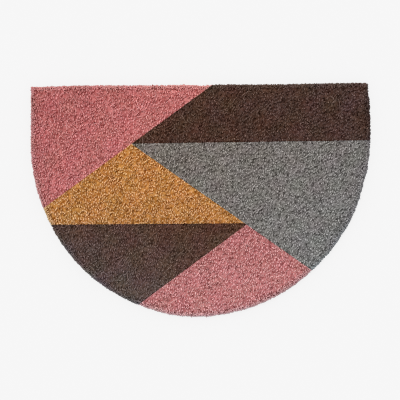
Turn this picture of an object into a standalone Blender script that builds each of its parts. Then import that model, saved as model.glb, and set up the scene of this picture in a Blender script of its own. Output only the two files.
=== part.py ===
"""A half-moon coir doormat: short brushed pile set in a thin backing, as one solid.

Metres, +Z up. The origin is on the floor under the middle of the mat's bounding box. The straight
back edge runs along X at +Y, and the round front edge is at -Y.
"""

import math

import bmesh
import bpy
from mathutils import Vector

# Driving sizes
WIDTH = 0.598  # between the two straight sides
DEPTH = 0.4085  # from the straight back edge to the front of the curve
HEIGHT = 0.015  # from the floor to the tips of the pile
ROUND_RADIUS = WIDTH / 2  # the front is half a circle between the sides
ROUND_CENTRE_Y = ROUND_RADIUS - DEPTH / 2  # where the sides turn into the half circle
CORNER_RADIUS = 0.0035  # at the two back corners
SHARPEST_CORNER = 0.001  # where the rim's shoulder turns the same corners further in

# The brushed tips give the edge a short, uneven waver.
WAVER = 0.0004
WAVER_LENGTH = 0.024
WAVER_DRIFT = 31.0  # how fast the waver's pace changes along the edge, in radians a metre

# The outline is cut by hand, so it strays from the true one: turn is measured round the half circle's
# centre, anticlockwise from +X, and out is how far beyond the true outline the cut lies there.
STRAYS = (
    # turn in degrees, out in metres
    (-90, 0.0020),
    (-76, 0.0002),
    (-62, -0.0012),
    (-48, -0.0026),
    (-34, -0.0022),
    (-24, -0.0009),
    (-15, -0.0013),
    (-4, 0.0020),
    (6, 0.0042),
    (13, 0.0036),
    (19, 0.0004),
    (40, -0.0010),
    (70, -0.0004),
    (87, -0.0020),
    (102, -0.0005),
    (116, -0.0009),
    (136, -0.0008),
    (152, -0.0001),
    (161, -0.0020),
    (170, -0.0018),
    (180, -0.0011),
    (192, -0.0020),
    (204, -0.0025),
    (216, -0.0011),
    (234, 0.0004),
    (248, 0.0009),
    (261, 0.0026),
    (270, 0.0020),
)

# The rim from the floor up: the cut backing, the pile leaning out over it, and its brushed-over tips
RIM = (
    # height, how far inside the outline
    (0.0000, 0.0022),
    (0.0026, 0.0022),
    (0.0034, 0.0014),
    (0.0085, 0.0000),
    (0.0118, 0.0003),
    (0.0136, 0.0014),
    (0.0146, 0.0032),
    (0.0150, 0.0062),
)

OUTLINE_STEP = 0.0080  # between points along the outline
CORNER_STEPS = 4  # points round each back corner
CELL = 0.030  # grid in the top face, which carries the pile's slow swells
SWELL = 0.0005  # how far the tips dip below the full height
SWELL_LENGTHS = (0.137, 0.083)  # of the swells, along X and along Y
RIM_BAND = 0.010  # the swells fade out over this distance from the top's edge

# The printed blocks meet along five straight lines. Each line runs through a point at an angle, in
# degrees anticlockwise from +X.
BACK_JOINT = Vector((-0.122, 0.100))  # where the back-left, band, wedge and right blocks meet
FRONT_JOINT = Vector((0.079, -0.042))  # where the wedge, right and two front blocks meet
SLANT = 35.7
LINES = {
    "back slant": (BACK_JOINT, SLANT),
    "band": (BACK_JOINT, 0.6),
    "long slant": (BACK_JOINT, -SLANT),
    "front band": (FRONT_JOINT, -0.2),
    "front slant": (FRONT_JOINT, SLANT),
}

COLOURS = {
    "rose": (0.440, 0.133, 0.129, 1.0),
    "ochre": (0.445, 0.199, 0.069, 1.0),
    "umber": (0.070, 0.037, 0.028, 1.0),
    "grey": (0.175, 0.163, 0.154, 1.0),
}
BACKING_COLOUR = (0.060, 0.050, 0.042, 1.0)


def remove_everything():
    """Clear the scene's objects, so that the script gives the same result in any file."""
    for old in list(bpy.data.objects):
        bpy.data.objects.remove(old, do_unlink=True)


def stray(turn):
    """How far the cut lies outside the true outline at this turn, eased between the rows of STRAYS."""
    turn = (turn + 90) % 360 - 90
    for (start, before), (end, after) in zip(STRAYS, STRAYS[1:]):
        if start <= turn <= end:
            share = (turn - start) / (end - start)
            ease = (1 - math.cos(math.pi * share)) / 2
            return before + (after - before) * ease
    return STRAYS[-1][1]


def true_outline(inside):
    """Points and outward normals round the half-moon, set in by a distance.

    They run anticlockwise from the front of the right side, and there are as many at any distance.
    """
    back = DEPTH / 2 - inside
    side = ROUND_RADIUS - inside
    radius = max(CORNER_RADIUS - inside, SHARPEST_CORNER)
    corner_x = side - radius
    corner_y = back - radius
    side_steps = round((DEPTH / 2 - ROUND_CENTRE_Y) / OUTLINE_STEP)
    back_steps = round(WIDTH / OUTLINE_STEP)
    front_steps = round(math.pi * ROUND_RADIUS / OUTLINE_STEP)
    runs = []
    runs += straight((side, ROUND_CENTRE_Y), (side, corner_y), side_steps)
    runs += arc((corner_x, corner_y), radius, 0, 90, CORNER_STEPS)
    runs += straight((corner_x, back), (-corner_x, back), back_steps)
    runs += arc((-corner_x, corner_y), radius, 90, 180, CORNER_STEPS)
    runs += straight((-side, corner_y), (-side, ROUND_CENTRE_Y), side_steps)
    runs += arc((0, ROUND_CENTRE_Y), side, 180, 360, front_steps)
    return runs


def straight(start, end, count):
    """Evenly spaced points from start up to, but not including, end."""
    start = Vector(start)
    end = Vector(end)
    along = end - start
    normal = Vector((along.y, -along.x)).normalized()
    return [(start + along * (i / count), normal) for i in range(count)]


def arc(centre, radius, first, last, count):
    """Evenly spaced points from the angle first up to, but not including, last, both in degrees."""
    centre = Vector(centre)
    sweep = math.radians(last - first)
    points = []
    for i in range(count):
        angle = math.radians(first) + sweep * i / count
        normal = Vector((math.cos(angle), math.sin(angle)))
        points.append((centre + normal * radius, normal))
    return points


def strays_from(outline):
    """How the cut strays from each point of the true outline, with the short waver of the tips."""
    moves = []
    walked = 0.0
    last = outline[0][0]
    for place, normal in outline:
        walked += (place - last).length
        last = place
        turn = math.degrees(math.atan2(place.y - ROUND_CENTRE_Y, place.x))
        pace = 2 * math.pi * walked / WAVER_LENGTH + 2 * math.sin(walked * WAVER_DRIFT)
        moves.append(normal * (stray(turn) + WAVER * math.sin(pace)))
    return moves


def cut_rings():
    """The outline as it was cut, once for each row of RIM.

    They are moved together so that the widest one's bounding box has its middle at the origin.
    """
    outline = true_outline(0)
    moves = strays_from(outline)
    widest = [place + move for (place, normal), move in zip(outline, moves)]
    low = Vector([min(place[axis] for place in widest) for axis in (0, 1)])
    high = Vector([max(place[axis] for place in widest) for axis in (0, 1)])
    middle = (low + high) / 2
    rings = []
    for height, inside in RIM:
        ring = [place + move - middle for (place, normal), move in zip(true_outline(inside), moves)]
        rings.append([Vector((at.x, at.y, height)) for at in ring])
    return rings


def block_at(x, y):
    """The name of the colour printed at this point of the top face."""
    if not below("back slant", x, y):
        return "rose"
    if not below("long slant", x, y):
        return "grey" if below("band", x, y) else "umber"
    if not below("front band", x, y):
        return "ochre"
    return "rose" if below("front slant", x, y) else "umber"


def below(line, x, y):
    """Whether the point lies on the front side of one of the printed lines."""
    through, angle = LINES[line]
    return (y - through.y) < math.tan(math.radians(angle)) * (x - through.x)


def lofted_mat(rings):
    """A closed body: the rings from the floor up, joined by quads, with both ends filled."""
    bm = bmesh.new()
    rings = [[bm.verts.new(place) for place in ring] for ring in rings]
    count = len(rings[0])
    for lower, upper in zip(rings, rings[1:]):
        for i in range(count):
            after = (i + 1) % count
            bm.faces.new((lower[i], lower[after], upper[after], upper[i]))
    bm.faces.new(reversed(rings[0]))
    bm.faces.new(rings[-1])
    return bm


def top_faces(bm):
    return [face for face in bm.faces if face.calc_center_median().z > HEIGHT - SWELL and face.normal.z > 0.99]


def cut_top(bm, point, normal):
    """Cut only the top faces along an upright plane."""
    bm.normal_update()
    faces = top_faces(bm)
    edges = {edge for face in faces for edge in face.edges}
    verts = {vert for face in faces for vert in face.verts}
    bmesh.ops.bisect_plane(
        bm,
        geom=list(verts) + list(edges) + faces,
        dist=0.0002,
        plane_co=point,
        plane_no=normal,
    )


def cut_along_blocks(bm):
    """Cut the top face where the printed colours meet."""
    for through, angle in LINES.values():
        turn = math.radians(angle)
        cut_top(bm, (through.x, through.y, 0), (-math.sin(turn), math.cos(turn), 0))


def cut_into_cells(bm):
    """Cut the top face into a grid, so that it can swell."""
    for axis, size in ((0, WIDTH), (1, DEPTH)):
        count = math.ceil(size / CELL)
        for i in range(1, count):
            point = [0, 0, 0]
            point[axis] = size * (i / count - 0.5)
            normal = [0, 0, 0]
            normal[axis] = 1
            cut_top(bm, point, normal)


def swell_top(bm, rim):
    """Lower the top a little here and there, as brushed coir never lies quite level."""
    for vert in bm.verts:
        if vert.co.z < HEIGHT - SWELL / 10:
            continue
        at = vert.co.copy()
        room = min((at.xy - place.xy).length for place in rim)
        fade = min(1.0, room / RIM_BAND)
        wave_x = math.sin(2 * math.pi * at.x / SWELL_LENGTHS[0] + 3 * at.y / DEPTH)
        wave_y = math.sin(2 * math.pi * at.y / SWELL_LENGTHS[1] + 2 * at.x / WIDTH)
        vert.co.z -= SWELL * fade * (2 + wave_x + wave_y) / 4


def plain_material(name, colour, roughness):
    material = bpy.data.materials.new(name)
    material.use_nodes = True
    shader = material.node_tree.nodes["Principled BSDF"]
    shader.inputs["Base Color"].default_value = colour
    shader.inputs["Roughness"].default_value = roughness
    shader.inputs["Metallic"].default_value = 0.0
    material.diffuse_color = colour
    return material


def wear_colours(mesh):
    """The backing's colour underneath, and on the pile the colour of the block that each face lies in."""
    names = ["backing"] + list(COLOURS)
    mesh.materials.append(plain_material("backing", BACKING_COLOUR, 0.6))
    for name, colour in COLOURS.items():
        mesh.materials.append(plain_material(name, colour, 0.95))
    backing_top = RIM[1][0]
    for face in mesh.polygons:
        if face.center.z > backing_top:
            face.material_index = names.index(block_at(face.center.x, face.center.y))


def make_mat():
    rings = cut_rings()
    bm = lofted_mat(rings)
    cut_along_blocks(bm)
    cut_into_cells(bm)
    swell_top(bm, rings[-1])
    bmesh.ops.triangulate(bm, faces=top_faces(bm))
    bmesh.ops.recalc_face_normals(bm, faces=bm.faces)
    mesh = bpy.data.meshes.new("mat")
    bm.to_mesh(mesh)
    bm.free()
    wear_colours(mesh)
    mesh.shade_smooth()
    mesh.set_sharp_from_angle(angle=math.radians(40))
    return bpy.data.objects.new("mat", mesh)


def main():
    remove_everything()
    collection = bpy.data.collections.new("half_moon_doormat")
    bpy.context.scene.collection.children.link(collection)
    collection.objects.link(make_mat())


main()
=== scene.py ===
"""A half-moon coir doormat, printed in straight-edged blocks, lying on a pale floor.

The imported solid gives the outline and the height. In its place stand a vinyl backing, a lumpy bed of
matted coir, six joined meshes of brushed strands, one for each printed block, and a few loose fibres.
Lengths are in metres.
"""

import math

import bmesh
import bpy
import numpy as np
from mathutils.kdtree import KDTree
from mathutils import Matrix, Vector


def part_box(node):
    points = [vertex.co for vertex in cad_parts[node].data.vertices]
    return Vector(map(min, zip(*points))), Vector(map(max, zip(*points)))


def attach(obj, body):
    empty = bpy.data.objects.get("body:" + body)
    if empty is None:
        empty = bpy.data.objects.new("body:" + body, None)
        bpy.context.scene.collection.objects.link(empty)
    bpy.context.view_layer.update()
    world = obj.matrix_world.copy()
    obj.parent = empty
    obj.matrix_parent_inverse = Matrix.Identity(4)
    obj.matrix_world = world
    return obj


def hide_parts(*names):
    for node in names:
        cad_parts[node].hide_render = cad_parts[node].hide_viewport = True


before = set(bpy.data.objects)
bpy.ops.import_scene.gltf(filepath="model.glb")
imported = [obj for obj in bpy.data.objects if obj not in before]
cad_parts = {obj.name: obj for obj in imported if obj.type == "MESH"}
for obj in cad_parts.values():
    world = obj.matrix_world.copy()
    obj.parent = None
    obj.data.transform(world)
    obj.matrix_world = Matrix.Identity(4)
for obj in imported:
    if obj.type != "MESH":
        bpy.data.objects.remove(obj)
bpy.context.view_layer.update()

# The solid
LOW, HIGH = (np.array(corner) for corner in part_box("mat"))
SIZE = HIGH - LOW
TOP = HIGH[2]
WIDEST = 0.0085  # the height of the ring of the solid that reaches furthest out

# The vinyl backing
BACKING_TOP = 0.0026
BACKING_INSET = 0.0022
BACKING_BEVEL = 0.0005
VINYL_DARK = (0.050, 0.041, 0.034)
VINYL_PALE = (0.082, 0.068, 0.056)

# Where the printed blocks meet: a point on each line, and its angle in degrees anticlockwise from +X
LINES = {
    # name: the point's x and y; angle
    "back slant": ((-0.1229, 0.1012), 35.6),
    "band": ((-0.1220, 0.1018), 0.3),
    "long slant": ((-0.1217, 0.1004), -35.5),
    "front band": ((0.0790, -0.0412), -0.1),
    "front slant": ((0.0799, -0.0433), 36.1),
}

# Each printed block's ink on the brushed tips and down between them, its slot, and how much
# the strands in it differ
# The depths' ink is the tips' ink darker and fuller: painted shade; the tips' paler ink is painted light
BLOCKS = {
    # name: tips' red, green and blue; the depths' red, green and blue; slot; spread of the tone
    "rose_back": ((0.808, 0.372, 0.364), (0.798, 0.262, 0.252), "pile_rose", 0.86),
    "umber_back": ((0.162, 0.101, 0.085), (0.147, 0.072, 0.050), "pile_umber", 0.75),
    "grey": ((0.445, 0.420, 0.400), (0.356, 0.331, 0.311), "pile_grey", 1.10),
    "ochre": ((0.849, 0.536, 0.291), (0.782, 0.349, 0.064), "pile_ochre", 1.10),
    "umber_front": ((0.206, 0.138, 0.122), (0.181, 0.100, 0.073), "pile_umber", 0.67),
    "rose_front": ((0.838, 0.479, 0.476), (0.818, 0.319, 0.317), "pile_rose", 1.00),
}
COIR = (0.400, 0.250, 0.130)  # fibre that the ink doesn't reach

# The print fades and cools slowly across each block
DRIFTS = {
    # name: the middle's x and y; shares that it gets paler, a metre along X and Y; and cooler
    "rose_back": (-0.196, 0.124, 0.75, -0.7, -0.1, -0.1),
    "umber_back": (0.131, 0.147, 0.15, 0.3, 0.5, -0.1),
    "grey": (0.133, 0.024, 0.2, -0.5, 0.2, -0.2),
    "ochre": (-0.117, 0.005, -0.05, 0.2, -0.1, -0.8),
    "umber_front": (-0.109, -0.091, -1.0, -3.0, -0.7, -1.5),
    "rose_front": (0.047, -0.136, 0.2, -1.0, 0.0, -0.1),
}

# It is uneven as well: in places it is paler, cooler or pinker by these shares
MOTTLE = (0.035, 0.010, 0.025)
UMBER_MOTTLE = (0.060, 0.055, 0.055)
MOTTLE_WAVES = ((0.055, 3), (0.045, 4), (0.050, 7))  # how far apart those places are, and a seed
RED_WITH_PALER = 0.6  # where the ink is paler or cooler, its red changes by these shares of that
RED_WITH_COOLER = -0.5

OVERLAP = 0.0018  # how far the umber is printed over the next block's ink
OVERLAP_SHADE = 0.80
PALE_STRAND_SHARE = 0.02  # the share of strands in the umber that are made paler
PALE_STRAND_GAIN = 2.2
# Worn ink and painted shade round the rim: the right side and the front are painted darkest
RIM_WEAR_AND_SHADE = {
    # side: the way it faces; what the colour loses of its red, green and blue at the very rim, by wear and
    # painted shade
    "left": ((-1, 0), (0.26, 0.12, 0.12)),
    "right": ((1, 0), (0.58, 0.58, 0.55)),
    "back": ((0, 1), (0.08, 0.00, 0.03)),
    "front": ((0, -1), (0.37, 0.22, 0.18)),
}
RIM_REACH = 0.004  # how fast that fades inwards

# How the ink and the light differ from place to place in the coir
INK_SWAY = 0.003  # how much the level that the ink reaches down to varies
INK_FADE = 0.0012  # the height over which it gives way to bare fibre
PILE_INK_FROM = 0.0080
BED_INK_FROM = 0.0065
# painted shade: the bed's colour is made this much darker, for the gaps between the tufts
BED_PAINTED_SHADE = 0.78
# Painted light and shade: faces that look up near the top get the tips' ink, the rest the depths' ink
FACING_UP = (0.05, 0.80)  # how far a face looks up where it has the depths' ink, and where the tips'
TINT_LEVELS = (-0.0034, 0.0004)  # the heights, from the top, between which the tips' ink comes in
LOW_TINT = 0.25  # the share of the tips' ink at the lower one
TONE_STEP = 1.12  # how many times lighter a strand is for one more of tone
TONE_RANGE = (-6.5, 1.8)
TONE_GAMMA = (1.60, 0.82)  # how full its ink is at either end of that range
# Painted light and shade along each strand: darker towards its root, lighter at its tip
ROOT_PAINTED_SHADE, TIP_PAINTED_LIGHT = 0.99, 1.05
RAGGED = 0.0011  # how far the printed edges stray to either side, fibre by fibre

# The matted bed
BED_DROP = 0.0056  # how far it lies below the top
BED_INSET = 0.0014
BED_STEP = 0.0026  # between its vertices
BED_SHIFT = 0.3  # the share of a step that they are moved to either side
BED_SNAP = 0.35  # the share of a step within which they are moved onto the outline
BED_WELD = 0.0002
BED_LUMPS = ((0.0052, 0.45), (0.0031, 0.55))  # how far apart its lumps are, and how much each size counts
BED_LUMP_TURNS = (0.3, 1.4, 2.6)
BED_LUMP_HEIGHT = 0.00045
BED_SWELL_HEIGHT = 0.0002
BED_SHOULDER = (0.0010, 0.005)  # how far it drops at the rim, and from how far in
# The bed's tone varies at random about a darker middle than the strands': painted shade
BED_TONE = (-3.0, 1.0)

# The tufts, patches of strands that lean together
TUFT_PITCH = np.array([0.0041, 0.0065])  # between them, along X and Y
TUFT_SIZE = (0.0019, 0.0036)  # where a tuft's strands start from, across its lean and along it
TUFT_INSET = 0.0048  # how far inside the outline the tufts of the top keep
TUFT_REACH = (0.0022, 0.0040)  # how far their strands go sideways
TUFT_RISE = (0.0052, 0.0066)  # and up
TUFT_CROWN = 0.0011  # how far the outermost strands end below the middle ones
TUFT_TONE = 0.7
TUFT_TONE_LIMITS = (-2.0, 0.75)
BENT_PER_TUFT = 5
SHORT_PER_TUFT = 8
RIM_ROWS = (
    # spacing along the outline, how far inside it they lie, how far to either side they lean
    (0.0028, 0.0015, math.radians(45)),
    (0.0036, 0.0044, math.radians(120)),
)
RIM_ROW_SHIFT = 0.0005
GRAIN = math.radians(80)  # the way most tufts lean in the middle, anticlockwise from +X
GRAIN_TURN = math.radians(-45)  # how much that changes, a metre along X
GRAIN_SWING = math.radians(12)
GRAIN_WAVES = (0.09, 5)  # how far apart its swings are, and a seed
LEAN_SPREAD = math.radians(26)
AGAINST_SHARE = 0.35  # the share of tufts that lean against the grain
ANY_WAY_SHARE = 0.14  # and of those that lean anywhere

# The strands in a tuft
STRAND_WIDTH = 0.00120
STRAND_WIDTHS = (0.7, 1.25)  # the widths that occur, as shares of that one
STRAND_REACH = (0.80, 1.15)  # shares of the tuft's reach
STRAND_RISE = (0.94, 1.04)  # and of its rise
STRAND_LEAN = 0.14
STRAND_TONE = (-1.1, 0.6)
STRAND_MIDDLE = 0.6  # the share of its reach at which a strand counts as standing in its place
TIP_DROP = 0.0003  # how far the highest tips stay below the top
BEND = (0.38, 0.78)  # the shares of its reach and its rise at which a strand bends over
BENT_RADII = (0.38, 0.60)  # shares of its width, at the root and at the bend
SHORT_RADIUS = 0.62
SHORT_RISE = 0.45  # a short strand's share of the rise
SHORT_SINK = 0.0012  # how far down the lowest of the short strands end
LAST_RING = 0.8  # how far along a strand its last ring counts as, the tip being at 1

# The small pits where the tufts part: their strands are sunk, and darkened by painted shade
PIT_SPACING = 0.0082
PIT_SEED = 6
PIT_SIZE = 0.0014
PIT_DEPTH = 0.0020
PIT_PAINTED_SHADE = -7.2  # how much darker and fuller a pit is painted, as shade, in the units of a strand's tone

# The strands that stick out of the upright rim
SIDE_ROWS = 6
SIDE_ROW_STEP = 0.00155
SIDE_SPACING = 0.00085
SIDE_INSET = (0.0016, 0.0030)  # where they are rooted, inside the outline
SIDE_HEIGHT = (0.0002, 0.0010)  # how far the lowest row starts above the backing, and how much that varies
SIDE_LEAN = 0.5
SIDE_REACH = (-0.0001, 0.0019)  # how far past the outline their tips go
SIDE_RISE = (0.0022, 0.0050)
SIDE_DROP = 0.0006  # how far they stay below the top
# darker on the whole than the top's strands: painted shade on the upright rim
SIDE_TONE = (-2.0, 0.6)
FRINGE_WAVES = (0.0050, 8)  # how far apart the clumps in the fringe are, and a seed
FRINGE_SWING = 0.0008
FRINGE_LIMIT = (0.0001, 0.0024)  # how far past the outline any strand may reach
LEAST_REACH = 0.0004

# The long pale fibres that lie over the tufts
LOOSE_FIBRES = 260
FIBRE_INSET = 0.020
FIBRE_LENGTH = (0.008, 0.019)
FIBRE_RADIUS = 0.00022
FIBRE_LEAN = math.radians(35)
FIBRE_CURL = math.radians(40)
FIBRE_STEPS = 8
FIBRE_DROP = 0.0012  # how far their ends lie below the top
FIBRE_ARCH = 0.0016
FIBRE_TONE = 2.4

# The studio
FLOOR_COLOUR = (0.10, 0.10, 0.10)
FLOOR_GLOW = 0.804  # the mat lies on a lit table, so it throws hardly any shadow
SKY_COLOUR = (0.93, 0.93, 0.93)
SKY_STRENGTH = 0.88
KEY_STRENGTH = 1.24
KEY_WIDTH = math.radians(30)
KEY_TURN = (math.radians(-12), math.radians(-8), 0)
PIXELS = 400
METRES_A_PIXEL = 0.00177
LENS = 100.0
SENSOR = 36.0
CAMERA_PLACE = (-0.0021, 0.0008)
CAMERA_TURN = math.radians(-0.5)
PIXEL_BLUR = 1.05

rng = np.random.default_rng(11)


# Outline

def rim_ring():
    """The widest ring of the solid as an anticlockwise polygon, read from its mesh."""
    co = np.array([v.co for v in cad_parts["mat"].data.vertices])
    ring = co[np.abs(co[:, 2] - WIDEST) < 0.0001][:, :2]
    ring = np.unique(ring.round(5), axis=0)
    return ring[np.argsort(np.arctan2(ring[:, 1], ring[:, 0]))]


def normals_of(ring):
    """Outward unit normals at the corners of an anticlockwise polygon."""
    along = np.roll(ring, -1, 0) - np.roll(ring, 1, 0)
    out = np.stack([along[:, 1], -along[:, 0]], 1)
    return out / np.linalg.norm(out, axis=1, keepdims=True)


def nearest_on(ring, points):
    """For each point: how far inside the polygon it lies, below 0 outside, and the nearest point on it."""
    depth = np.empty(len(points))
    nearest = np.empty((len(points), 2))
    start = ring[None]
    along = np.roll(ring, -1, 0)[None] - start
    length2 = (along ** 2).sum(2)
    batch = 8192
    for first in range(0, len(points), batch):
        p = points[first:first + batch, None]
        share = np.clip(((p - start) * along).sum(2) / length2, 0, 1)
        foot = start + along * share[:, :, None]
        away = np.linalg.norm(p - foot, axis=2)
        best = away.argmin(1)
        rows = np.arange(len(best))
        side = np.cross(along[0][best], (p[:, 0] - ring[best]))
        depth[first:first + batch] = away[rows, best] * np.sign(side)
        nearest[first:first + batch] = foot[rows, best]
    return depth, nearest


def walked(ring, step):
    """Evenly spaced points along the polygon, with their outward normals."""
    closed = np.vstack([ring, ring[:1]])
    normal = normals_of(ring)
    normal = np.vstack([normal, normal[:1]])
    run = np.concatenate([[0], np.cumsum(np.linalg.norm(np.diff(closed, axis=0), axis=1))])
    at = np.arange(0, run[-1], step)
    points = np.stack([np.interp(at, run, closed[:, k]) for k in (0, 1)], 1)
    normals = np.stack([np.interp(at, run, normal[:, k]) for k in (0, 1)], 1)
    return points, normals / np.linalg.norm(normals, axis=1, keepdims=True)


# The print, place by place

def below(line, points):
    """Which points lie on the front side of a printed line."""
    through, angle = LINES[line]
    slope = math.tan(math.radians(angle))
    return points[:, 1] - through[1] < slope * (points[:, 0] - through[0])


def block_of(points):
    """The number of the block, in the order of BLOCKS, that each point lies in."""
    names = list(BLOCKS)
    front = np.where(below("front slant", points), names.index("rose_front"), names.index("umber_front"))
    front = np.where(below("front band", points), front, names.index("ochre"))
    back = np.where(below("band", points), names.index("grey"), names.index("umber_back"))
    found = np.where(below("long slant", points), front, back)
    return np.where(below("back slant", points), found, names.index("rose_back"))


def is_umber(block):
    """Which of these block numbers stand for an umber block."""
    return np.array([name.startswith("umber") for name in BLOCKS])[block]


def spread_of(points):
    """How much the tone of the strands varies in the block that each point lies in."""
    return np.array([row[3] for row in BLOCKS.values()])[block_of(points)]


def waves(points, length, seed):
    """A smooth unevenness about 0, mostly between -1 and 1, with humps about this far apart."""
    own = np.random.default_rng(seed)
    total = np.zeros(len(points))
    for turn in own.uniform(0, math.pi, 6):
        way = points @ (math.cos(turn), math.sin(turn))
        own_length = length * own.uniform(0.7, 1.4)
        total += np.sin(way * 2 * math.pi / own_length + own.uniform(0, 2 * math.pi))
    return total / 3


def in_pit(points):
    """1 in the middle of a pit, falling to 0 round it."""
    own = np.random.default_rng(PIT_SEED)
    gx, gy = np.meshgrid(*(np.arange(LOW[k], HIGH[k], PIT_SPACING) for k in (0, 1)))
    middles = np.stack([gx.ravel(), gy.ravel()], 1)
    middles += own.uniform(-0.5, 0.5, middles.shape) * PIT_SPACING
    tree = KDTree(len(middles))
    for number, (x, y) in enumerate(middles):
        tree.insert((x, y, 0), number)
    tree.balance()
    away = np.array([tree.find((x, y, 0))[2] for x, y in points])
    return np.exp(-(away / PIT_SIZE) ** 2)


def rim_factor(points, ring):
    """The part of print_factor that the wear and the painted shade round the rim take."""
    depth, rim = nearest_on(ring, points)
    out = rim - points
    out /= np.linalg.norm(out, axis=1, keepdims=True) + 1e-9
    out *= np.sign(depth)[:, None]
    wear_and_shade = sum(np.outer(np.maximum(out @ way, 0) ** 2, share) for way, share in RIM_WEAR_AND_SHADE.values())
    return 1 - wear_and_shade * np.exp(-np.maximum(depth, 0) / RIM_REACH)[:, None]


def print_shift(points, block):
    """How much paler, cooler and pinker the ink is at each point, by the mottle and its block's drift."""
    mottle = np.where(is_umber(block)[:, None], UMBER_MOTTLE, MOTTLE)
    paler, cooler, pinker = (mottle[:, k] * waves(points, *MOTTLE_WAVES[k]) for k in range(3))
    for number, name in enumerate(BLOCKS):
        x, y, paler_x, paler_y, cooler_x, cooler_y = DRIFTS[name]
        pick = block == number
        away = points[pick] - (x, y)
        paler[pick] += away @ (paler_x, paler_y)
        cooler[pick] += away @ (cooler_x, cooler_y)
    return paler, cooler, pinker


def near_border(points, block):
    """Which points have another block's ink within the overlap."""
    near = np.zeros(len(points), bool)
    for step in ((1, 0), (-1, 0), (0, 1), (0, -1)):
        near |= block_of(points + np.array(step) * OVERLAP) != block
    return near


def print_factor(points, ring):
    """What the ink's red, green and blue are multiplied by at each point, painted shade at the rim included.
    """
    block = block_of(points)
    paler, cooler, pinker = print_shift(points, block)
    red = RED_WITH_PALER * paler + RED_WITH_COOLER * cooler + pinker
    factor = np.exp(np.stack([red, paler, paler + cooler + pinker], 1))
    factor[near_border(points, block) & is_umber(block)] *= OVERLAP_SHADE
    return factor * rim_factor(points, ring)


# Meshes

def placed(name, me):
    """An object in the scene for a mesh."""
    ob = bpy.data.objects.new(name, me)
    bpy.context.scene.collection.objects.link(ob)
    return ob


def placed_bmesh(name, bm):
    """An object in the scene for a bmesh, which is freed."""
    me = bpy.data.meshes.new(name)
    bm.to_mesh(me)
    bm.free()
    return placed(name, me)


def mesh_from(name, co, corners, counts, tone, along, paint):
    """An object made from flat arrays: vertices, the corners of all faces in a row and each face's count.

    tone, along and paint have a row for each vertex.
    """
    me = bpy.data.meshes.new(name)
    me.vertices.add(len(co))
    me.vertices.foreach_set("co", np.ascontiguousarray(co, np.float32).ravel())
    me.loops.add(len(corners))
    me.loops.foreach_set("vertex_index", np.ascontiguousarray(corners, np.int32))
    me.polygons.add(len(counts))
    starts = np.concatenate([[0], np.cumsum(counts)[:-1]])
    me.polygons.foreach_set("loop_start", starts.astype(np.int32))
    me.polygons.foreach_set("use_smooth", np.ones(len(counts), bool))
    me.update(calc_edges=True)
    keep(me, "tone", tone)
    keep(me, "along", along)
    keep(me, "paint", paint)
    top_down_map(me)
    return placed(name, me)


def keep(me, label, values):
    """Store a number or a colour for each vertex, which the material reads."""
    if values.ndim == 1:
        me.attributes.new(label, "FLOAT", "POINT").data.foreach_set("value", values.astype(np.float32))
        return
    colour = np.column_stack([values, np.ones(len(values))]).astype(np.float32)
    me.attributes.new(label, "FLOAT_COLOR", "POINT").data.foreach_set("color", colour.ravel())


def top_down_map(me):
    """A UV map that looks down on the mesh, sheared by height so that upright faces keep some width."""
    shear = (0.45, 0.30)
    margin = 0.002
    co = np.empty(len(me.vertices) * 3, np.float32)
    me.vertices.foreach_get("co", co)
    co = co.reshape(-1, 3)
    flat = co[:, :2] + co[:, 2:] * shear
    low = flat.min(0)
    flat = (flat - low) / (flat.max(0) - low).max() * (1 - 2 * margin) + margin
    index = np.empty(len(me.loops), np.int32)
    me.loops.foreach_get("vertex_index", index)
    layer = me.uv_layers.new(name="OFBake")
    layer.uv.foreach_set("vector", flat[index].astype(np.float32).ravel())


def three_round(centre, along, side, radius, roll):
    """Three corners round each centre, anticlockwise seen against along."""
    over = np.cross(along, side)
    corners = []
    for k in range(3):
        turn = roll + k * 2 * math.pi / 3
        spoke = side * np.cos(turn)[:, None] + over * np.sin(turn)[:, None]
        corners.append(centre + spoke * radius[:, None])
    return corners


def strand_faces(levels, count):
    """The corners of all faces in a row, and each face's count, for closed strands with this many rings."""
    pattern = [2, 1, 0]
    for level in range(levels - 1):
        for k in range(3):
            a, b = 3 * level + k, 3 * level + (k + 1) % 3
            pattern += [a, b, b + 3, a + 3]
    for k in range(3):
        pattern += [3 * levels - 3 + k, 3 * levels - 3 + (k + 1) % 3, 3 * levels]
    each = 3 * levels + 1
    corners = (np.array(pattern)[None] + each * np.arange(count)[:, None]).ravel()
    return corners, np.tile([3] + [4] * (3 * (levels - 1)) + [3] * 3, count)


def tapered(path, radii, lean, tone, paint):
    """Closed three-sided strands that end in a point.

    path is a list of places, each an array with a row for each strand, from the roots to the tips, and
    radii gives the strand's radius at each place but the last. The result is what mesh_from takes.
    """
    count = len(lean)
    side = np.stack([-np.sin(lean), np.cos(lean), np.zeros(count)], 1)
    roll = rng.uniform(0, 2 * math.pi, count)
    rings = []
    for here, after, radius in zip(path, path[1:], radii):
        along = after - here
        along /= np.linalg.norm(along, axis=1, keepdims=True)
        rings += three_round(here, along, side, radius, roll)
    co = np.stack(rings + [path[-1]], 1).reshape(-1, 3)
    levels = len(radii)
    corners, counts = strand_faces(levels, count)
    along_strand = np.tile(np.append(np.repeat(np.linspace(0, LAST_RING, levels), 3), 1.0), count)
    each = 3 * levels + 1
    return co, corners, counts, np.repeat(tone, each), along_strand, np.repeat(paint, each, 0)


def joined(name, parts):
    """One object from several results of tapered."""
    before = np.concatenate([[0], np.cumsum([len(part[0]) for part in parts])])
    co = np.concatenate([part[0] for part in parts])
    corners = np.concatenate([part[1] + first for part, first in zip(parts, before)])
    return mesh_from(name, co, corners, *(np.concatenate([part[k] for part in parts]) for k in (2, 3, 4, 5)))


def moved(root, lean, out, up):
    """The places that lie this far out along the lean and this far up from the roots."""
    return root + np.column_stack([np.cos(lean) * out, np.sin(lean) * out, up])


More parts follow.
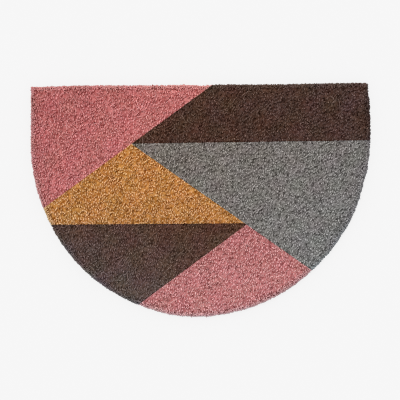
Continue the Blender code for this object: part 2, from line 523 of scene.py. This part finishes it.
def bent_strands(root, lean, reach, rise, width, tone, paint):
    """Each strand stands up from its root and bends over along lean."""
    bend = moved(root, lean, reach * BEND[0], rise * BEND[1])
    tip = moved(root, lean, reach, rise)
    return tapered([root, bend, tip], [width * share for share in BENT_RADII], lean, tone, paint)


def short_strands(root, lean, reach, rise, width, tone, paint):
    """Straight slivers between the bent strands."""
    return tapered([root, moved(root, lean, reach, rise)], [width * SHORT_RADIUS], lean, tone, paint)


# Backing and bed

def make_backing(ring):
    """The vinyl slab under the pile, with a small bevel all round."""
    edge = ring - normals_of(ring) * BACKING_INSET
    bm = bmesh.new()
    low = [bm.verts.new((x, y, 0)) for x, y in edge]
    high = [bm.verts.new((x, y, BACKING_TOP)) for x, y in edge]
    for i in range(len(edge)):
        after = (i + 1) % len(edge)
        bm.faces.new((low[i], low[after], high[after], high[i]))
    bm.faces.new(reversed(low))
    bm.faces.new(high)
    sharp = [e for e in bm.edges if e.verts[0].co.z == e.verts[1].co.z]
    bmesh.ops.bevel(bm, geom=sharp, offset=BACKING_BEVEL, segments=2, profile=0.5, affect="EDGES")
    return placed_bmesh("backing", bm)


def bed_height(points, depth):
    """The matted bed's height: lumps of a few millimetres, slow swells, and a round shoulder at the rim."""
    lumps = np.zeros(len(points))
    for size, much in BED_LUMPS:
        for turn in BED_LUMP_TURNS:
            phase = rng.uniform(0, 2 * math.pi)
            way = points @ (math.cos(turn), math.sin(turn))
            cross = points @ (-math.sin(turn), math.cos(turn))
            bend = np.sin(cross * 2 * math.pi / (size * 2.7) + phase)
            lumps += much * np.sin(way * 2 * math.pi / size + 1.7 * bend + phase)
    lumps += rng.normal(0, 0.6, len(points))
    swell = np.sin(points[:, 0] * 46 + 3 * points[:, 1] / SIZE[1]) + np.sin(points[:, 1] * 76)
    drop, reach = BED_SHOULDER
    shoulder = np.clip(1 - depth / reach, 0, 1) ** 2
    return TOP - BED_DROP + BED_LUMP_HEIGHT * lumps + BED_SWELL_HEIGHT * swell - drop * shoulder


def bed_grid(edge):
    """Uneven quads that fill an outline: their corners, how far inside it these lie, and the quads."""
    xs = np.arange(LOW[0] - BED_STEP, HIGH[0] + 2 * BED_STEP, BED_STEP)
    ys = np.arange(LOW[1] - BED_STEP, HIGH[1] + 2 * BED_STEP, BED_STEP)
    gx, gy = np.meshgrid(xs, ys)
    points = np.stack([gx.ravel(), gy.ravel()], 1)
    points += rng.uniform(-BED_SHIFT, BED_SHIFT, points.shape) * BED_STEP
    depth, nearest = nearest_on(edge, points)
    cols = len(xs)
    cell = (np.arange(len(ys) - 1)[:, None] * cols + np.arange(cols - 1)[None]).ravel()
    quads = np.stack([cell, cell + 1, cell + cols + 1, cell + cols], 1)
    quads = quads[(depth[quads] > 0).sum(1) >= 2]
    flat = np.where((depth < BED_SNAP * BED_STEP)[:, None], nearest, points)
    used = np.unique(quads)
    place = np.full(len(points), -1)
    place[used] = np.arange(len(used))
    return flat[used], np.maximum(depth[used], 0), place[quads]


def close_below(bm):
    """Give the bed an upright wall down to the backing, and an underside."""
    border = [e for e in bm.edges if e.is_boundary]
    walls = bmesh.ops.extrude_edge_only(bm, edges=border)
    for part in walls["geom"]:
        if isinstance(part, bmesh.types.BMVert):
            part.co.z = BACKING_TOP
    under = [e for e in bm.edges if e.is_boundary]
    bmesh.ops.holes_fill(bm, edges=under, sides=0)
    bmesh.ops.recalc_face_normals(bm, faces=bm.faces)


def make_bed(ring):
    """The matted coir between the strands: a lumpy top with an upright wall, standing on the backing."""
    flat, inside, quads = bed_grid(ring - normals_of(ring) * BED_INSET)
    bm = bmesh.new()
    paint = bm.verts.layers.float_color.new("paint")
    verts = [bm.verts.new(p) for p in np.column_stack([flat, bed_height(flat, inside)])]
    for vert, factor in zip(verts, print_factor(flat, ring)):
        vert[paint] = (*factor, 1.0)
    for quad in quads:
        bm.faces.new([verts[i] for i in quad])
    bmesh.ops.remove_doubles(bm, verts=bm.verts, dist=BED_WELD)
    bmesh.ops.dissolve_degenerate(bm, edges=bm.edges, dist=BED_WELD / 2)
    close_below(bm)
    bed = placed_bmesh("matted_bed", bm)
    bed.data.shade_smooth()
    flat = np.array([v.co[:2] for v in bed.data.vertices])
    # painted shade: the bed is darker on the whole, and darker still in the pits
    tone = rng.uniform(*BED_TONE, len(flat)) + PIT_PAINTED_SHADE * in_pit(flat)
    keep(bed.data, "tone", tone * spread_of(flat))
    top_down_map(bed.data)
    return bed


# Strands

def spread_out(points, rounds, neighbours=6, push=0.22):
    """Push points apart until each keeps about one unit from its neighbours."""
    for _ in range(rounds):
        tree = KDTree(len(points))
        for number, point in enumerate(points):
            tree.insert((point[0], point[1], 0), number)
        tree.balance()
        found = [tree.find_n((point[0], point[1], 0), neighbours + 1)[1:] for point in points]
        near = np.array([[other[1] for other in row] for row in found])
        away = points[:, None] - points[near]
        far = np.linalg.norm(away, axis=2, keepdims=True) + 1e-9
        points = points + (away / far * np.maximum(1.0 - far, 0)).sum(1) * push
    return points


def top_tufts(ring):
    """Places for the tufts all over the top, and which way each of them leans.

    They follow no rows. Most lean with the grain, which swings slowly over the mat, or against it.
    """
    low, high = LOW[:2] / TUFT_PITCH, HIGH[:2] / TUFT_PITCH
    gx, gy = np.meshgrid(np.arange(low[0], high[0]), np.arange(low[1], high[1]))
    points = np.stack([gx.ravel(), gy.ravel()], 1)
    points += rng.uniform(-0.7, 0.7, points.shape)
    centre = spread_out(points, 10) * TUFT_PITCH
    depth, _ = nearest_on(ring, centre)
    centre = centre[depth > TUFT_INSET]
    count = len(centre)
    grain = GRAIN + GRAIN_TURN * centre[:, 0] + GRAIN_SWING * waves(centre, *GRAIN_WAVES)
    lean = grain + rng.normal(0, LEAN_SPREAD, count)
    kind = rng.uniform(0, 1, count)
    lean = np.where(kind < AGAINST_SHARE, lean + math.pi, lean)
    any_way = rng.uniform(0, 2 * math.pi, count)
    return centre, np.where(kind > 1 - ANY_WAY_SHARE, any_way, lean)


def rim_tufts(ring, step, inset, swing):
    """A row of tufts along the outline, so that the top is full up to its edge.

    They lie about inset inside it, and lean out over it within about swing to either side.
    """
    points, out = walked(ring, step)
    count = len(points)
    centre = points - out * (inset + rng.uniform(-RIM_ROW_SHIFT, RIM_ROW_SHIFT, count))[:, None]
    return centre, np.arctan2(out[:, 1], out[:, 0]) + rng.normal(0, swing, count)


def tuft_strands(centre, lean):
    """The strands of the tufts at these places. A tuft's strands start side by side and lean together."""
    count = len(centre)
    reach = rng.uniform(*TUFT_REACH, count)
    rise = rng.uniform(*TUFT_RISE, count)
    tone = np.clip(rng.normal(0.0, TUFT_TONE, count), *TUFT_TONE_LIMITS)
    per_tuft = BENT_PER_TUFT + SHORT_PER_TUFT
    each = np.repeat(np.arange(count), per_tuft)
    short = np.tile(np.arange(per_tuft) >= BENT_PER_TUFT, count)
    total = len(each)
    way = np.stack([np.cos(lean), np.sin(lean)], 1)[each]
    across = np.stack([-np.sin(lean), np.cos(lean)], 1)[each]
    row = rng.uniform(-1, 1, total)
    step = rng.uniform(-1, 1, total)
    reach = reach[each] * rng.uniform(*STRAND_REACH, total)
    rise = rise[each] * rng.uniform(*STRAND_RISE, total) * np.where(short, SHORT_RISE, 1)
    flat = centre[each] + across * (row * TUFT_SIZE[0] / 2)[:, None]
    pit = in_pit(flat + way * (step * TUFT_SIZE[1] / 2)[:, None])
    sink = np.where(short, rng.uniform(0, SHORT_SINK, total), 0) + PIT_DEPTH * pit
    return {
        "flat": flat + way * (step * TUFT_SIZE[1] / 2 - reach * STRAND_MIDDLE)[:, None],
        "height": TOP - TIP_DROP - TUFT_CROWN * row ** 2 - rise - sink,
        "lean": lean[each] + rng.normal(0, STRAND_LEAN, total),
        "reach": reach,
        "rise": rise,
        # painted shade: strands in a pit get a darker, fuller tone
        "tone": tone[each] + rng.uniform(*STRAND_TONE, total) + PIT_PAINTED_SHADE * pit,
        "short": short,
    }


def fringe_swing(points):
    """How much further out the strands end at each point of the rim, below 0 where they end short."""
    return FRINGE_SWING * waves(points, *FRINGE_WAVES)


def side_strands(ring, row):
    """One row of strands that stick out of the upright rim, each leaning up and out of it."""
    points, out = walked(ring, SIDE_SPACING)
    count = len(points)
    inset = rng.uniform(*SIDE_INSET, count)
    start, varies = SIDE_HEIGHT
    height = BACKING_TOP + start + row * SIDE_ROW_STEP + rng.uniform(0, varies, count)
    return {
        "flat": points - out * inset[:, None],
        "height": height,
        "lean": np.arctan2(out[:, 1], out[:, 0]) + rng.normal(0, SIDE_LEAN, count),
        "reach": inset + rng.uniform(*SIDE_REACH, count) + fringe_swing(points),
        "rise": np.minimum(rng.uniform(*SIDE_RISE, count), TOP - SIDE_DROP - height),
        "tone": rng.uniform(*SIDE_TONE, count),
        "short": np.zeros(count, bool),
    }


def ways(strands):
    """The way that each strand leans, seen from above."""
    return np.stack([np.cos(strands["lean"]), np.sin(strands["lean"])], 1)


def trimmed(strands, ring):
    """Shorten the strands that would reach far over the outline."""
    tips = strands["flat"] + ways(strands) * strands["reach"][:, None]
    depth, rim = nearest_on(ring, tips)
    limit = np.maximum(rng.uniform(*FRINGE_LIMIT, len(tips)) + fringe_swing(rim), 0)
    strands["reach"] = np.maximum(strands["reach"] - np.maximum(-depth - limit, 0), LEAST_REACH)
    return strands


def all_strands(ring):
    """Every strand of the pile: its place, shape, tone and print, and the number of its block."""
    rows = [tuft_strands(*top_tufts(ring))]
    rows += [tuft_strands(*rim_tufts(ring, *row)) for row in RIM_ROWS]
    rows += [side_strands(ring, row) for row in range(SIDE_ROWS)]
    strands = trimmed({key: np.concatenate([row[key] for row in rows]) for key in rows[0]}, ring)
    count = len(strands["lean"])
    strands["width"] = STRAND_WIDTH * rng.uniform(*STRAND_WIDTHS, count)
    strands["root"] = np.column_stack([strands["flat"], strands["height"]])
    middle = strands["flat"] + ways(strands) * (strands["reach"] * STRAND_MIDDLE)[:, None]
    strands["paint"] = print_factor(middle, ring)
    strands["tone"] *= spread_of(middle)
    strands["block"] = block_of(middle)
    pale_strands = is_umber(strands["block"]) & (rng.uniform(0, 1, count) < PALE_STRAND_SHARE)
    strands["paint"][pale_strands] *= PALE_STRAND_GAIN
    return strands


def make_pile(ring):
    """One joined mesh of strands for each printed block."""
    strands = all_strands(ring)
    keys = ("root", "lean", "reach", "rise", "width", "tone", "paint")
    pieces = []
    for number, name in enumerate(BLOCKS):
        parts = []
        for make, kind in ((bent_strands, ~strands["short"]), (short_strands, strands["short"])):
            pick = (strands["block"] == number) & kind
            parts.append(make(*(strands[key][pick] for key in keys)))
        pieces.append(joined("pile_" + name, parts))
    return pieces


def make_loose_fibres(ring):
    """Long pale fibres that lie over the tufts here and there."""
    start = rng.uniform(LOW[:2], HIGH[:2], (LOOSE_FIBRES, 2))
    start = start[nearest_on(ring, start)[0] > FIBRE_INSET]
    count = len(start)
    heading = GRAIN + rng.normal(0, FIBRE_LEAN, count)
    turn = rng.normal(0, FIBRE_CURL, count)
    length = rng.uniform(*FIBRE_LENGTH, count)
    path = []
    flat = start
    for k in range(FIBRE_STEPS + 1):
        share = k / FIBRE_STEPS
        height = TOP - FIBRE_DROP + FIBRE_ARCH * math.sin(math.pi * share)
        path.append(np.column_stack([flat, np.full(count, height)]))
        way = heading + turn * (share - 0.5)
        flat = flat + np.stack([np.cos(way), np.sin(way)], 1) * (length / FIBRE_STEPS)[:, None]
    radii = [np.full(count, FIBRE_RADIUS)] * FIBRE_STEPS
    tone = np.full(count, FIBRE_TONE)
    return joined("loose_fibres", [tapered(path, radii, heading, tone, np.ones((count, 3)))])


# Shader nodes

def new_material(name):
    """A material, its node tree and its shader."""
    material = bpy.data.materials.new(name)
    material.use_nodes = True
    return material, material.node_tree, material.node_tree.nodes["Principled BSDF"]


def add(tree, kind, **settings):
    node = tree.nodes.new(kind)
    for key, value in settings.items():
        setattr(node, key, value)
    return node


def feed(tree, socket, value):
    """Link a socket, or set a plain value."""
    if isinstance(value, bpy.types.NodeSocket):
        tree.links.new(value, socket)
    else:
        socket.default_value = value


def maths(tree, operation, *values, kind="ShaderNodeMath"):
    node = add(tree, kind, operation=operation)
    for socket, value in zip(node.inputs, values):
        feed(tree, socket, value)
    return node.outputs[0]


def vector_maths(tree, operation, *values):
    return maths(tree, operation, *values, kind="ShaderNodeVectorMath")


def attribute(tree, name, output="Fac"):
    return add(tree, "ShaderNodeAttribute", attribute_name=name).outputs[output]


def upward(tree, vector):
    """The part of a vector along Z."""
    parts = add(tree, "ShaderNodeSeparateXYZ")
    feed(tree, parts.inputs[0], vector)
    return parts.outputs["Z"]


def mixed(tree, share, first, second):
    """first where share is 0 and second where it is 1, as colours."""
    node = add(tree, "ShaderNodeMix", data_type="RGBA")
    feed(tree, node.inputs["Factor"], share)
    feed(tree, node.inputs["A"], first)
    feed(tree, node.inputs["B"], second)
    return node.outputs["Result"]


def noise(tree, place, scale, detail, output="Fac"):
    node = add(tree, "ShaderNodeTexNoise")
    feed(tree, node.inputs["Vector"], place)
    node.inputs["Scale"].default_value = scale
    node.inputs["Detail"].default_value = detail
    node.inputs["Roughness"].default_value = 0.5
    return node.outputs[output]


def stretched(tree, value, low, high, to_low=0.0, to_high=1.0):
    """A value moved from one range to another, and kept within it."""
    node = add(tree, "ShaderNodeMapRange")
    feed(tree, node.inputs["Value"], value)
    node.inputs["From Min"].default_value = low
    node.inputs["From Max"].default_value = high
    node.inputs["To Min"].default_value = to_low
    node.inputs["To Max"].default_value = to_high
    return node.outputs["Result"]


def give_relief(tree, shader, height, strength, distance):
    """A fine bump in the shader's surface."""
    bump = add(tree, "ShaderNodeBump")
    bump.inputs["Strength"].default_value = strength
    bump.inputs["Distance"].default_value = distance
    feed(tree, bump.inputs["Height"], height)
    feed(tree, shader.inputs["Normal"], bump.outputs["Normal"])


def rgba(colour):
    return (*colour, 1.0)


# Materials

def front_side(tree, place, line):
    """1 on the front side of a printed line, 0 behind it."""
    (x, y), angle = LINES[line]
    turn = math.radians(angle)
    normal = (math.sin(turn), -math.cos(turn), 0)
    node = add(tree, "ShaderNodeVectorMath", operation="DOT_PRODUCT")
    feed(tree, node.inputs[0], place)
    node.inputs[1].default_value = normal
    return maths(tree, "GREATER_THAN", node.outputs["Value"], x * normal[0] + y * normal[1])


def ragged(tree, place):
    """The place moved about a little, which makes the printed edges as ragged as the fibres."""
    wobble = noise(tree, place, 520.0, 1.0, output="Color")
    there = vector_maths(tree, "MULTIPLY_ADD", wobble, (2 * RAGGED, 2 * RAGGED, 0.0), place)
    return vector_maths(tree, "SUBTRACT", there, (RAGGED, RAGGED, 0.0))


def printed_layout(tree, place, column):
    """The ink at a place: column 0 of BLOCKS for the tips, the lit copy, 1 for the depths, the shaded copy.
    """
    ink = {name: rgba(row[column]) for name, row in BLOCKS.items()}
    front = mixed(tree, front_side(tree, place, "front slant"), ink["umber_front"], ink["rose_front"])
    front = mixed(tree, front_side(tree, place, "front band"), ink["ochre"], front)
    back = mixed(tree, front_side(tree, place, "band"), ink["umber_back"], ink["grey"])
    both = mixed(tree, front_side(tree, place, "long slant"), back, front)
    return mixed(tree, front_side(tree, place, "back slant"), ink["rose_back"], both)


def ink_with_painted_shade(tree, place, level):
    """The printed ink with painted light and shade: the tips' where a face looks up near the top, the
    depths' elsewhere.
    """
    normal = add(tree, "ShaderNodeNewGeometry").outputs["Normal"]
    facing_up = stretched(tree, upward(tree, normal), *FACING_UP)
    low, high = TINT_LEVELS
    near_top = stretched(tree, level, TOP + low, TOP + high, LOW_TINT, 1.0)
    share = maths(tree, "MULTIPLY", facing_up, near_top)
    at = ragged(tree, place)
    layout = mixed(tree, share, printed_layout(tree, at, 1), printed_layout(tree, at, 0))
    return vector_maths(tree, "MULTIPLY", layout, attribute(tree, "paint", "Color"))


def toned(tree, colour, shade):
    """The colour with each strand's own tone, made darker by shade, which is painted shade on the bed, and
    with painted light along each strand: darker at its root, paler towards its tip.
    """
    tone = attribute(tree, "tone")
    full = add(tree, "ShaderNodeGamma")
    feed(tree, full.inputs["Color"], colour)
    feed(tree, full.inputs["Gamma"], stretched(tree, tone, *TONE_RANGE, *TONE_GAMMA))
    along = stretched(tree, attribute(tree, "along"), 0, 1, ROOT_PAINTED_SHADE, TIP_PAINTED_LIGHT)
    light = maths(tree, "MULTIPLY", maths(tree, "POWER", TONE_STEP, tone), along)
    scaled = add(tree, "ShaderNodeVectorMath", operation="SCALE")
    feed(tree, scaled.inputs[0], full.outputs["Color"])
    feed(tree, scaled.inputs["Scale"], maths(tree, "MULTIPLY", light, shade))
    return scaled.outputs[0]


def coir_material(name, shade, ink_from):
    """Printed coir: ink on what stands above ink_from, bare fibre below it, painted light and shade, and a
    tone for each strand.
    """
    material, tree, shader = new_material(name)
    place = add(tree, "ShaderNodeTexCoord").outputs["Object"]
    uneven = noise(tree, place, 300.0, 1.0)
    level = maths(tree, "MULTIPLY_ADD", uneven, INK_SWAY, upward(tree, place))
    inked = stretched(tree, level, ink_from, ink_from + INK_FADE)
    colour = mixed(tree, inked, rgba(COIR), ink_with_painted_shade(tree, place, level))
    feed(tree, shader.inputs["Base Color"], toned(tree, colour, shade))
    fine = noise(tree, place, 1800.0, 2.0)
    feed(tree, shader.inputs["Roughness"], stretched(tree, fine, 0.3, 0.7, 0.62, 0.85))
    give_relief(tree, shader, fine, strength=0.35, distance=0.0002)
    shader.inputs["Specular IOR Level"].default_value = 0.0
    return material


def backing_material():
    """Dark, matt vinyl with a fine stipple."""
    material, tree, shader = new_material("vinyl_backing")
    place = add(tree, "ShaderNodeTexCoord").outputs["Object"]
    stipple = noise(tree, place, 900.0, 3.0)
    cloudy = noise(tree, place, 25.0, 3.0)
    colour = mixed(tree, stretched(tree, cloudy, 0.3, 0.7), rgba(VINYL_DARK), rgba(VINYL_PALE))
    feed(tree, shader.inputs["Base Color"], colour)
    feed(tree, shader.inputs["Roughness"], stretched(tree, stipple, 0.3, 0.7, 0.5, 0.7))
    give_relief(tree, shader, stipple, strength=0.4, distance=0.0003)
    return material


# Studio

def make_floor():
    """A wide, softly glowing table under the mat."""
    bpy.ops.mesh.primitive_plane_add(size=12, location=(0, 0, 0))
    floor = bpy.context.object
    floor.name = "floor"
    material, tree, shader = new_material("floor_paper")
    shader.inputs["Base Color"].default_value = rgba(FLOOR_COLOUR)
    shader.inputs["Roughness"].default_value = 0.9
    shader.inputs["Specular IOR Level"].default_value = 0.0
    shader.inputs["Emission Color"].default_value = (1, 1, 1, 1)
    shader.inputs["Emission Strength"].default_value = FLOOR_GLOW
    floor.data.materials.append(material)


def make_lights():
    """A bright even sky, and one wide sun from nearly overhead."""
    world = bpy.data.worlds.new("studio")
    bpy.context.scene.world = world
    world.use_nodes = True
    background = world.node_tree.nodes["Background"]
    background.inputs["Color"].default_value = rgba(SKY_COLOUR)
    background.inputs["Strength"].default_value = SKY_STRENGTH
    data = bpy.data.lights.new("key", "SUN")
    data.angle = KEY_WIDTH
    data.energy = KEY_STRENGTH
    key = bpy.data.objects.new("key", data)
    bpy.context.scene.collection.objects.link(key)
    key.rotation_euler = KEY_TURN


def make_camera():
    """Straight above the mat, turned half a degree, as in the photograph."""
    distance = PIXELS * METRES_A_PIXEL * LENS / SENSOR
    data = bpy.data.cameras.new("camera")
    data.lens = LENS
    data.sensor_width = SENSOR
    camera = bpy.data.objects.new("camera", data)
    bpy.context.scene.collection.objects.link(camera)
    camera.location = (*CAMERA_PLACE, TOP + distance)
    camera.rotation_euler = (0, 0, CAMERA_TURN)
    bpy.context.scene.camera = camera


def set_picture():
    """Plain colours, and the strands as crisp as in the photograph."""
    scene = bpy.context.scene
    scene.view_settings.view_transform = "Standard"
    scene.cycles.use_denoising = False
    scene.cycles.filter_width = PIXEL_BLUR


def main():
    make_camera()
    make_lights()
    set_picture()
    make_floor()
    ring = rim_ring()
    backing = make_backing(ring)
    backing.data.materials.append(backing_material())
    bed = make_bed(ring)
    bed.data.materials.append(coir_material("matted_coir", BED_PAINTED_SHADE, BED_INK_FROM))
    pile = make_pile(ring)
    strands = coir_material("brushed_coir", 1.0, PILE_INK_FROM)
    pile.append(make_loose_fibres(ring))
    for piece in pile:
        piece.data.materials.append(strands)
    for piece in [backing, bed] + pile:
        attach(piece, "root")
    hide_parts("mat")


main()
